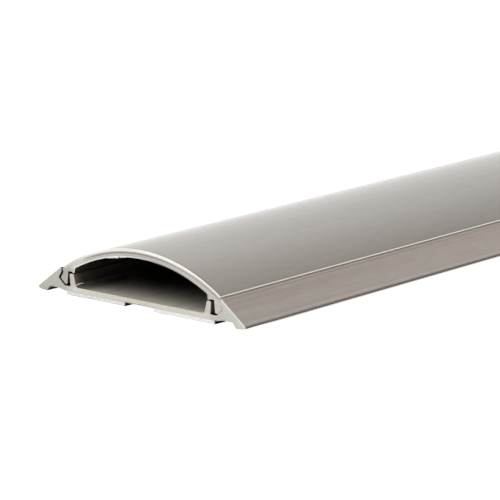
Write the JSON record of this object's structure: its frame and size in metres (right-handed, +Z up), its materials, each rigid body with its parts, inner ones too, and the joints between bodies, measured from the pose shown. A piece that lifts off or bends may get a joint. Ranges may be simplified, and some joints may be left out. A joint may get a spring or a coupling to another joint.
{
  "type": "floor cable duct",
  "caption": "Low arched floor cable duct: a flat self-adhesive base with sloping flanks, and a curved cover that clips over its cable channel.",
  "frame": {"origin": "on the floor under the duct, at the middle of its length and width", "axes": "+X across the duct, +Y along it, +Z up from the floor; the end at -Y is the cut end that the picture shows"},
  "size_m": [0.075, 1, 0.0165],
  "materials": {
    "base_plastic": "matte extruded PVC, warm grey",
    "cover_plastic": "satin extruded PVC, warm grey",
    "foam_tape": "off-white closed-cell foam tape"
  },
  "bodies": {
    "root": {"duct_base": "base_plastic", "duct_cover": "cover_plastic", "foam_tape_left": "foam_tape", "foam_tape_right": "foam_tape"}
  },
  "joints": []
}
